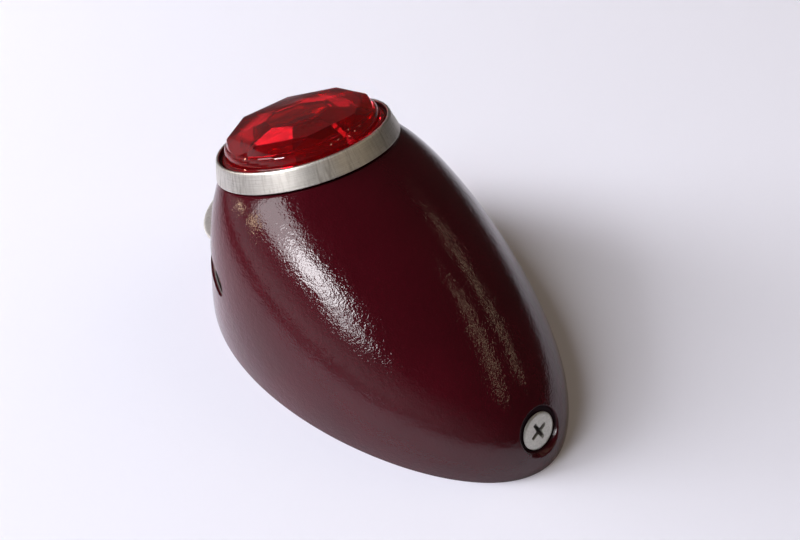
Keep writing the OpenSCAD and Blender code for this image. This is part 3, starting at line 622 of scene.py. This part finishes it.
def cross_screw():
    """The nose screw: the head's face is a height over rings of growing radius with the cross
    recess in it, then its rim and cone, and a shank whose radius follows a screw thread."""
    cols, recess_turn, deepest = 192, math.radians(20), 2.2
    a = TURN * np.arange(cols) / cols
    face_r = join([np.arange(0.1, 2.8, 0.075), np.arange(2.9, 4.0, 0.2),
                   np.arange(4.05, 4.6, 0.1), [4.6, 4.635]])[:, None]
    recess = recess_depth(face_r * np.cos(a - recess_turn), face_r * np.sin(a - recess_turn))
    level_r, slope_wide, rim_drop = 4.0, 0.635, 0.22
    crown = -rim_drop * np.clip((face_r - level_r) / slope_wide, 0, 1) ** 2
    head = circles(face_r, crown - recess, a)

    cone_low = -HEAD_RIM - (HEAD_R - SHANK_R)
    side = np.array([(HEAD_R, -0.25), (HEAD_R, -HEAD_RIM), (4.6, -HEAD_RIM - 0.06), (3.6, -1.4),
                     (2.62, cone_low + 0.1), (SHANK_R, cone_low), (SHANK_R, cone_low - 0.7)])
    pitch, ridge_high, thread_top, tip_top, tip_end = 0.8, 0.36, cone_low - 0.8, -13.6, -14.0
    down = np.arange(thread_top, -13.3, -0.1)[:, None]
    ridge = np.abs(2 * ((down / pitch + a / TURN) % 1) - 1)
    fade = smooth_step((thread_top - down) / 0.8) * smooth_step((down - tip_top) / 0.6)
    thread = circles(SHANK_R - ridge_high * ridge * fade, down, a)
    tip = np.array([(2.2, tip_top), (1.9, -13.95), (1.2, tip_end)])

    grid = join([head, circles(side[:, :1], side[:, 1:], a), thread,
                 circles(tip[:, :1], tip[:, 1:], a)])
    rows = len(grid)
    points = np.vstack([grid.reshape(-1, 3), [[0, 0, -deepest], [0, 0, tip_end]]])
    faces = grid_quads(rows, cols)[:, ::-1].tolist()
    faces += fan(0, cols, rows * cols, forward=True)
    faces += fan((rows - 1) * cols, cols, rows * cols + 1, forward=False)
    depth = np.zeros(len(points))
    depth[:recess.size] = (recess / deepest).ravel()
    return piece("cross_screw", on_screw(points), faces, "cover_screw",
                 ("nose_screw",), values={"depth": depth}, sharp=42)


# Pieces inside the lamp
def ring_gasket():
    """The rubber ring under the lens flange: a rounded oblong turned round the neck."""
    profile = fillet([(20.4, 1.7, 0.2), (21.75, 1.7, 0.2), (21.75, 2.58, 0.2), (20.4, 2.58, 0.2)],
                     closed=True)
    points, faces, _uv = turned(profile, on_neck, 160, closed=True)
    return piece("ring_gasket", points, faces, "bezel", ("lens_gasket",))


def retaining_wire():
    """The split wire under the lens flange: round wire along an arc of 342 degrees."""
    mid, wire_r, play = 2.15, 0.4, 0.05
    a = np.radians(np.linspace(9, 351, 172))
    r = band_r(mid) - BAND_WALL - wire_r - play
    points, faces = tube(circles(r, mid, a), wire_r, on_neck, 14)
    return piece("retaining_wire", points, faces, "bezel", ("lens_retaining_wire",))


def push_spring():
    """The contact spring: a round wire along four turns of a helix on the bulb's axis."""
    turns, r, wire_r, foot, room_high, play = 4, 4.6, 0.4, 7.75, 6, 0.1
    a = TURN * turns * np.linspace(0, 1, 40 * turns + 1)
    rise = foot + play + wire_r + (room_high - 2 * wire_r - 2 * play) * a / (TURN * turns)
    points, faces = tube(circles(r, rise, a), wire_r, on_bulb, 12)
    obj = piece("push_spring", points, faces, "lamp", ("contact_spring",))
    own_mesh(obj)
    return obj


def bulb_globe():
    """The bulb's glass: the globe's arc runs into its neck through a soft hollow, outside and
    inside, and the two are joined at the neck's open end."""
    middle_h, hollow_turn, hollow_high = -23.5, 0.16, 3.4

    def outline(globe_r, neck_r, neck_end):
        a0 = math.asin(neck_r / globe_r) + hollow_turn
        a = math.pi - (math.pi - a0) * np.linspace(0, 1, 40)
        arc = np.stack([globe_r * np.sin(a), middle_h + globe_r * np.cos(a)], -1)
        start = arc[-1]
        bend = curve(start, np.array([neck_r + 0.12, start[1] + 1.1]),
                     np.array([neck_r, start[1] + hollow_high]), 8)[1:]
        return join([arc, bend, [[neck_r, neck_end]]])
    outer, inner = outline(9.5, 6.2, -0.7), outline(8.8, 5.5, -0.75)
    profile = join([outer, [[6.0, -0.5], [5.7, -0.5]], inner[::-1]])
    points, faces, _uv = turned(profile, on_bulb, 96)
    return piece("bulb_globe", points, faces, "bulb", ("bulb_glass",))


def coiled_filament():
    """The filament: a fine wire along seven turns of a helix that lies across the bulb."""
    turns, span, coil_r, coil_h, wire_r = 7, 4.0, 0.55, -22.5, 0.12
    a = TURN * turns * np.linspace(0, 1, 24 * turns + 1)
    path = np.stack([coil_r * np.cos(a), -span / 2 + span * a / (TURN * turns),
                     coil_h + coil_r * np.sin(a)], -1)
    points, faces = tube(path, wire_r, on_bulb, 8)
    return piece("coiled_filament", points, faces, "bulb", ("filament",))


def edged_copy(node, name, width):
    """A solid's own shape with its triangles merged, its flat faces joined and its edges eased."""
    hard, flat = 35, math.radians(1)
    mesh = bmesh.new()
    mesh.from_mesh(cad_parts[node].data)
    merged(mesh, 2e-6)
    bmesh.ops.dissolve_limit(mesh, angle_limit=flat, verts=mesh.verts[:], edges=mesh.edges[:])
    spots, faces = unpacked(mesh)
    return eased(piece(name, spots / MM, faces, "lamp", (node,), sharp=hard), width, hard)


# Finishes
def operator(operation, swapped=False):
    """A method that adds a Math node of a wire and another wire or a number."""
    def method(self, other):
        pair = (other, self) if swapped else (self, other)
        return self.finish.node("ShaderNodeMath", {"operation": operation}, dict(enumerate(pair)))
    return method


class Wire:
    """One output of a finish's nodes. Sums, products and powers of it add Math nodes."""

    def __init__(self, finish, socket):
        self.finish, self.socket = finish, socket

    __add__ = __radd__ = operator("ADD")
    __sub__, __rsub__ = operator("SUBTRACT"), operator("SUBTRACT", swapped=True)
    __mul__ = __rmul__ = operator("MULTIPLY")
    __pow__ = operator("POWER")

    def over(self, low, high):
        """0 where this is under low, 1 where it is over high, and smooth between."""
        return self.finish.node("ShaderNodeMapRange", {"interpolation_type": "SMOOTHSTEP"},
                                {"Value": self, "From Min": low, "From Max": high})


class Finish:
    """The nodes of a material or of the room. node() adds any node."""

    def __init__(self, owner, end="ShaderNodeOutputMaterial"):
        self.owner = owner
        owner.use_nodes = True
        self.tree = owner.node_tree
        self.tree.nodes.clear()
        self.end = self.tree.nodes.new(end)

    def node(self, kind, settings=None, inputs=None, out=0):
        """Adds a node of a type, makes its settings, then sets or links its sockets."""
        node = self.tree.nodes.new(kind)
        for key, value in (settings or {}).items():
            if key == "stops":
                ramp = node.color_ramp.elements
                while len(ramp) < len(value):
                    ramp.new(0.5)
                for stop, (place, colour) in zip(ramp, value):
                    stop.position, stop.color = place, (*colour, 1)
            else:
                setattr(node, key, value)
        for key, value in (inputs or {}).items():
            socket = node.inputs[key]
            if isinstance(value, Wire):
                self.tree.links.new(value.socket, socket)
            else:
                socket.default_value = (*value, 1) if socket.type == "RGBA" else value
        return Wire(self, node.outputs[out])

    def place(self, scale=(1, 1, 1), turn=(0, 0, 0)):
        """Object coordinates in millimetres, stretched and turned."""
        spot = self.node("ShaderNodeTexCoord", out="Object")
        return self.node("ShaderNodeMapping", inputs={
            "Vector": spot, "Rotation": turn, "Scale": tuple(k / MM for k in scale)})

    def sheet(self, scale):
        """The piece's own UV in millimetres, stretched."""
        spot = self.node("ShaderNodeTexCoord", out="UV")
        return self.node("ShaderNodeMapping", inputs={"Vector": spot, "Scale": scale})

    def noise(self, where, scale, detail=2.0, rough=0.5):
        return self.node("ShaderNodeTexNoise", inputs={
            "Vector": where, "Scale": scale, "Detail": detail, "Roughness": rough})

    def value(self, field):
        return self.node("ShaderNodeAttribute", {"attribute_name": field}, out="Fac")

    def mix(self, share, a, b):
        """Colour a turning into colour b as share goes from 0 to 1."""
        return self.node("ShaderNodeMix", {"data_type": "RGBA"}, {0: share, 6: a, 7: b}, out=2)

    def glow(self, colour):
        """A colour that shines by itself."""
        return self.node("ShaderNodeEmission", inputs={"Color": colour, "Strength": 1.0})

    def blend(self, share, a, b):
        """Shader a turning into shader b as share goes from 0 to 1."""
        return self.node("ShaderNodeMixShader", inputs={0: share, 1: a, 2: b})

    def bump(self, height, distance, under=None):
        """A bump of a height in millimetres, on top of another where one is given."""
        inputs = {"Height": height, "Distance": distance * MM, "Strength": 1.0}
        if under:
            inputs["Normal"] = under
        return self.node("ShaderNodeBump", inputs=inputs)

    def close(self, surface):
        """Puts a shader on the output and gives the material or room."""
        self.tree.links.new(surface.socket, self.end.inputs["Surface"])
        return self.owner

    def shader(self, dull=None, **sockets):
        """The Principled shader on the output. A name's underscores stand for spaces. dull is a
        share and a colour: that share of the surface is plain matt."""
        names = {key.replace("_", " "): value for key, value in sockets.items()}
        surface = self.node("ShaderNodeBsdfPrincipled", inputs=names)
        if dull:
            matt = self.node("ShaderNodeBsdfDiffuse", inputs={"Color": dull[1]})
            surface = self.blend(dull[0], surface, matt)
        return self.close(surface)


def finish(name):
    """A new material to be filled with nodes."""
    return Finish(bpy.data.materials.new(name))


def maroon_enamel():
    """Glossy maroon enamel with slow waves, orange peel, fine dust, painted shade, dark and matt,
    in the dimple round the screw, and a dull pale coat inside."""
    f = finish("maroon_enamel")
    where = f.place()
    peel = f.noise(where, 0.75, 2.0, 0.55)
    grain = f.noise(where, 2.3, 1.0)
    wave = f.noise(where, 0.24)
    drift = f.noise(where, 0.05)
    dust = f.noise(where, 3.4, 2.0, 0.6).over(0.66, 0.78)
    inside = f.value("inside")
    nook = f.value("nook")
    paint = f.mix(drift.over(0.3, 0.7), (0.041, 0.0014, 0.004), (0.05, 0.0018, 0.005))
    paint = f.mix(dust * 0.14, paint, (0.16, 0.09, 0.08))
    colour = f.mix(inside.over(0.5, 0.9), paint, (0.22, 0.2, 0.18))
    rough = 0.075 + 0.03 * drift + 0.1 * dust + 0.4 * inside + 0.2 * nook
    # Painted shade: in the dimple the nook value blends in dark, matt paint
    return f.shader(dull=(nook * 0.9, (0.01, 0.003, 0.005)), Base_Color=colour, Roughness=rough,
                    IOR=1.5, Normal=f.bump(peel * 0.6 + grain * 0.4, 0.1, f.bump(wave, 0.07)))


def metal(name, light, dark, rough, grain, scale, bump, spots=(0.1, 0.08, 0.06), bare=1.0):
    """Worn metal: two tones that drift, fine grain stretched the way it was worked, and small
    spots of tarnish that are darker and duller. bare is how metallic it is."""
    f = finish(name)
    where = f.place()
    drift = f.noise(where, 0.16, 3.0, 0.6).over(0.3, 0.7)
    lines = f.noise(f.place(grain), scale, 4.0, 0.65)
    spot = f.noise(where, 0.9, 4.0, 0.7).over(0.6, 0.74)
    colour = f.mix(lines.over(0.25, 0.75), dark, light)
    colour = f.mix(drift * 0.35, colour, dark)
    colour = f.mix(spot * 0.5, colour, spots)
    return f.shader(Base_Color=colour, Metallic=bare, Normal=f.bump(lines, bump),
                    Roughness=rough + 0.14 * lines + 0.12 * drift + 0.2 * spot)


def brushed_bezel():
    """The bezel's bare metal: fine lines that run round the band, a few streaks across it,
    patches of tarnish, and painted shade on its inner side."""
    f = finish("brushed_bezel")
    lines = f.noise(f.sheet((0.1, 7.0, 1)), 1.0, 3.0, 0.65)
    streak = f.noise(f.sheet((1.3, 0.16, 1)), 1.0, 3.0, 0.6)
    group = f.noise(f.sheet((0.16, 0.05, 1)), 1.0).over(0.34, 0.66)
    spot = f.noise(f.place(), 0.8, 4.0, 0.7).over(0.6, 0.75)
    stained = (0.3 + 0.7 * group) * streak.over(0.42, 0.7) * 0.8
    colour = f.mix(lines.over(0.3, 0.7), (0.78, 0.745, 0.68), (0.95, 0.92, 0.86))
    colour = f.mix(stained, colour, (0.52, 0.48, 0.42))
    colour = f.mix(spot * 0.45, colour, (0.26, 0.21, 0.16))
    # Painted shade: the band's inner side is made dark
    colour = f.mix(f.value("inner"), colour, (0.1, 0.085, 0.085))
    return f.shader(Base_Color=colour, Metallic=1.0, Anisotropic=0.55,
                    Roughness=0.36 + 0.08 * lines + 0.06 * group + 0.15 * spot,
                    Normal=f.bump(lines * 0.4 + streak * 0.6, 0.05))


def red_glass():
    """Red pressed glass, clear but for a little haze: its skin waves and has a few nicks."""
    f = finish("red_glass")
    wave = f.noise(f.place(), 0.22, 1.0)
    haze = f.noise(f.place(), 0.35, 3.0, 0.6)
    nick = f.noise(f.place(), 2.6, 3.0, 0.7).over(0.66, 0.74)
    tint = f.mix(haze, (0.885, 0.008, 0.018), (0.915, 0.018, 0.032))
    tint = f.mix(nick * 0.25, tint, (0.9, 0.4, 0.4))
    return f.shader(Base_Color=tint, Roughness=0.02 + 0.1 * nick, IOR=1.5,
                    Transmission_Weight=0.95, Normal=f.bump(wave, 0.05))


def clear_glass(name, tint, rough=0.02):
    """Thin clear glass or plastic with faint smears."""
    f = finish(name)
    smear = f.noise(f.place((1, 1, 0.3)), 0.5, 3.0, 0.6)
    colour = f.mix(smear.over(0.4, 0.8) * 0.3, tint, tuple(0.82 * k for k in tint))
    return f.shader(Base_Color=colour, Roughness=rough + 0.06 * smear, IOR=1.45,
                    Transmission_Weight=1.0, Normal=f.bump(smear, 0.01))


def moulded(name, colour, rough, scale, bump, fleck):
    """Moulded rubber, resin or dark glass: fine grain, a drift of tone and flecks of dust."""
    f = finish(name)
    where = f.place()
    grain = f.noise(where, scale, 4.0, 0.6)
    drift = f.noise(where, 0.25)
    dust = f.noise(where, 2.4, 3.0, 0.7).over(0.62, 0.76)
    tone = f.mix(drift, tuple(0.7 * k for k in colour), tuple(1.3 * k for k in colour))
    tone = f.mix(dust * 0.22, tone, fleck)
    return f.shader(Base_Color=tone, Roughness=rough + 0.2 * grain + 0.15 * dust,
                    Normal=f.bump(grain, bump))


def plated_screw():
    """Bright zinc on the screw: a fine turned grain, painted shade that grows with the recess's
    depth, and small nicks.
    """
    f = finish("plated_screw")
    where = f.place()
    fine = f.noise(where, 2.2, 4.0, 0.65)
    nick = f.noise(f.place((1, 0.25, 1), (0.4, 0.2, 0.9)), 3.2, 2.0, 0.6).over(0.6, 0.68)
    depth = f.value("depth")
    # Painted shade: darker, duller and less metallic the deeper the recess, mottled by the grain
    painted_shade = depth.over(0.05, 0.4) * (0.55 + 0.45 * fine)
    colour = f.mix(fine.over(0.3, 0.7), (0.525, 0.515, 0.465), (0.645, 0.635, 0.575))
    colour = f.mix(nick * 0.4, colour, (0.75, 0.74, 0.71))
    colour = f.mix(painted_shade, colour, (0.1, 0.092, 0.088))
    return f.shader(Base_Color=colour, Metallic=0.85 - 0.4 * painted_shade,
                    Roughness=0.36 + 0.2 * fine + 0.2 * painted_shade - 0.08 * nick,
                    Normal=f.bump(fine * 0.7 - nick * 0.5, 0.012))


plated = metal("plated_steel", (0.62, 0.61, 0.57), (0.4, 0.4, 0.38), 0.34, (0.3, 1, 1), 1.6,
               0.012, (0.22, 0.17, 0.11))
steel = metal("bare_steel", (0.46, 0.43, 0.38), (0.3, 0.28, 0.25), 0.36, (1, 0.2, 1), 2.2,
              0.014, (0.16, 0.09, 0.05))
hood_steel = metal("hood_steel", (0.62, 0.59, 0.535), (0.45, 0.42, 0.38), 0.5, (1, 0.2, 1), 2.0,
                   0.02, (0.2, 0.13, 0.08), bare=0.45)
sprung = metal("spring_steel", (0.55, 0.54, 0.52), (0.34, 0.33, 0.32), 0.3, (1, 1, 0.4), 1.8,
               0.006)
brass = metal("cap_brass", (0.7, 0.52, 0.25), (0.48, 0.33, 0.14), 0.3, (0.3, 1, 1), 1.6,
              0.01, (0.16, 0.1, 0.04))
dull_brass = metal("socket_brass", (0.56, 0.42, 0.21), (0.36, 0.25, 0.11), 0.38, (0.4, 1, 1), 1.3,
                   0.012, (0.1, 0.12, 0.07))
solder = metal("solder", (0.52, 0.52, 0.52), (0.36, 0.36, 0.37), 0.42, (1, 1, 1), 1.1, 0.02)
tungsten = metal("tungsten", (0.36, 0.35, 0.34), (0.22, 0.21, 0.2), 0.38, (1, 1, 1), 3.0, 0.003)
rubber = moulded("black_rubber", (0.022, 0.021, 0.021), 0.55, 2.4, 0.03, (0.16, 0.15, 0.14))
resin = moulded("bakelite", (0.045, 0.02, 0.011), 0.32, 1.4, 0.012, (0.2, 0.16, 0.13))
black_glass = moulded("black_glass", (0.01, 0.01, 0.011), 0.12, 1.2, 0.008, (0.2, 0.2, 0.2))
globe_glass = clear_glass("bulb_clear", (0.97, 0.98, 0.97))
stem_glass = clear_glass("stem_glass", (0.86, 0.9, 0.88), 0.08)
pane_plastic = clear_glass("pane_plastic", (0.93, 0.92, 0.84), 0.1)

for coat, obj in (
        (maroon_enamel(), housing_shell()), (brushed_bezel(), bezel_band()),
        (red_glass(), jewel_lens()), (hood_steel, hood_plate()), (plated_screw(), cross_screw()),
        (rubber, ring_gasket()), (sprung, retaining_wire()), (sprung, push_spring()),
        (globe_glass, bulb_globe()), (tungsten, coiled_filament()),
        (plated, edged_copy("base_plate", "base_tray", 0.15)),
        (plated, edged_copy("holder_bracket", "bulb_bracket", 0.12)),
        (plated, edged_copy("captive_nut", "ear_nut", 0.2)),
        (steel, edged_copy("rear_catch", "tail_catch", 0.12))):
    obj.data.materials.append(coat)

# Solids that are carried over
for coat, names in (
        (pane_plastic, ["window_pane"]),
        (brass, ["pane_clips", "bulb_cap", "centre_contact", "terminal_nut", "bracket_rivets"]),
        (dull_brass, ["socket_shell"]), (rubber, ["cable_grommet"]),
        (resin, ["socket_insulator", "contact_carrier"]), (black_glass, ["bulb_insulator"]),
        (solder, ["bulb_contact"]), (stem_glass, ["bulb_stem"])):
    for obj in (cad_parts[name] for name in names):
        if not obj.material_slots:
            obj.data.materials.append(coat)
        for slot in obj.material_slots:
            slot.material = coat

# Floor, lamps and camera
BACKDROP = (0.86, 0.86, 0.91)


def pale_floor():
    """A flat pale sheet under the lamp that keeps its shadow, and plain pale far from it. What
    shines mirrors the sheet only near the lamp; farther out it mirrors a dim glow instead,
    painted shade in the reflections."""
    f = finish("pale_paper")
    spot = f.node("ShaderNodeTexCoord", out="Object")
    away = f.node("ShaderNodeVectorMath", {"operation": "LENGTH"}, {0: spot}, out="Value")
    seen = f.node("ShaderNodeLightPath", out="Is Camera Ray")
    mirrored = f.node("ShaderNodeLightPath", out="Is Glossy Ray")
    tooth = f.bump(f.noise(f.place(), 0.6, 3.0, 0.6), 0.02)
    paper = f.node("ShaderNodeBsdfDiffuse", inputs={"Color": (0.88, 0.875, 0.91), "Normal": tooth})
    both = f.blend(away.over(0.22, 0.54) * seen, paper, f.glow(BACKDROP))
    # Painted shade in reflections: far from the lamp, glossy rays see a dim glow
    f.close(f.blend(away.over(0.08, 0.26) * mirrored, both, f.glow((0.07, 0.065, 0.065))))
    mesh = bpy.data.meshes.new("floor")
    half = 0.56
    corners = [(-half, -half, 0), (half, -half, 0), (half, half, 0), (-half, half, 0)]
    mesh.from_pydata(corners, [], [(0, 1, 2, 3)])
    mesh.materials.append(f.owner)
    linked("floor", mesh)


def direction(azimuth, elevation):
    """The unit vector towards a direction in degrees. Azimuth is counted from -Y towards +X."""
    az, el = math.radians(azimuth), math.radians(elevation)
    return Vector((math.sin(az) * math.cos(el), -math.cos(az) * math.cos(el), math.sin(el)))


LAMPS_FACE = Vector((0, 0, 0.03))


def window(name, azimuth, elevation, width, height, level, colour, roll=0.0, far=1.6, soft=False):
    """A square-cornered lamp in a direction from the object. Width and height are angles in
    degrees, level is its brightness, and roll lifts its end of higher azimuth. A soft lamp
    lights what is matt, any other what shines, and glass shows both."""
    way = direction(azimuth, elevation)
    light = bpy.data.lights.new(name, "AREA")
    light.shape, light.color = "RECTANGLE", colour
    light.size = 2 * far * math.tan(math.radians(width / 2))
    light.size_y = 2 * far * math.tan(math.radians(height / 2))
    light.energy = level * math.pi * light.size * light.size_y
    obj = linked(name, light)
    obj.location = way * far + LAMPS_FACE
    turn = Quaternion((0, 0, 1), math.radians(roll))
    obj.rotation_euler = (way.to_track_quat("Z", "Y") @ turn).to_euler()
    obj.visible_glossy, obj.visible_diffuse = not soft, soft


def room():
    """A dim room: pale low on the window's side, dark elsewhere and overhead. The camera sees
    plain pale."""
    world = bpy.data.worlds.new("room")
    scene.world = world
    f = Finish(world, "ShaderNodeOutputWorld")
    way = f.node("ShaderNodeTexCoord", out="Generated")
    height = f.node("ShaderNodeSeparateXYZ", inputs={0: way}, out="Z")
    glow = f.node("ShaderNodeValToRGB", {"stops": [
        (0.0, (0.95, 0.93, 1.0)), (0.1, (0.72, 0.71, 0.76)), (0.26, (0.42, 0.41, 0.44)),
        (0.4, (0.05, 0.05, 0.052)), (1.0, (0.02, 0.02, 0.021))]}, {0: height})
    to_window = f.node("ShaderNodeVectorMath", {"operation": "DOT_PRODUCT"},
                       {0: way, 1: (-0.34, -0.94, 0)}, "Value")
    shade = f.mix((to_window * 0.5 + 0.5) ** 4.0, (0.045, 0.04, 0.036), glow)
    seen = f.mix(f.node("ShaderNodeLightPath", out="Is Camera Ray"), shade, BACKDROP)
    f.close(f.node("ShaderNodeBackground", inputs={"Color": seen, "Strength": 1.0}))


pale_floor()
room()
DAY, GOLD = (0.98, 0.965, 1.0), (1.0, 0.78, 0.52)
SKY, WARM = (0.885, 0.89, 0.985), (1.0, 0.8, 0.62)
window("low_key", -40, 26, 24, 24, 14.6, SKY, far=2.2, soft=True)
window("high_key", -24, 46, 34, 30, 7.2, SKY, soft=True)
window("skirt_light", -50, 8, 30, 10, 27.0, SKY, soft=True)
window("back_fill", 165, 40, 50, 40, 0.85, WARM, soft=True)
window("main_window", -27, 38, 34, 24, 5.4, DAY)
window("bright_pane", 0, 35, 14, 12, 20.0, DAY)
window("low_pane", 9, 25, 9, 4, 15.0, DAY)
window("gold_lamp_a", -35, 20, 6, 5, 12.0, GOLD)
window("gold_lamp_b", -54, 11, 6, 2.5, 18.0, GOLD)
window("back_strip_a", 110, 46, 46, 1.1, 7.0, GOLD, roll=34)
window("back_strip_b", 150, 35, 46, 0.9, 6.5, GOLD, roll=15)

# The spot that the camera looks at and its distance from there, in millimetres
CAMERA_SPOT, CAMERA_FAR = Vector((0.18, 3.22, 20.0)), 245.67
back = direction(49.11, 45.39)
camera = linked("camera", bpy.data.cameras.new("camera"))
camera.location = (CAMERA_SPOT + CAMERA_FAR * back) * MM
camera.rotation_euler = back.to_track_quat("Z", "Y").to_euler()
camera.data.lens, camera.data.sensor_width = 44.05, 36
camera.data.clip_start = 0.01
scene.camera = camera
scene.view_settings.view_transform = "Standard"
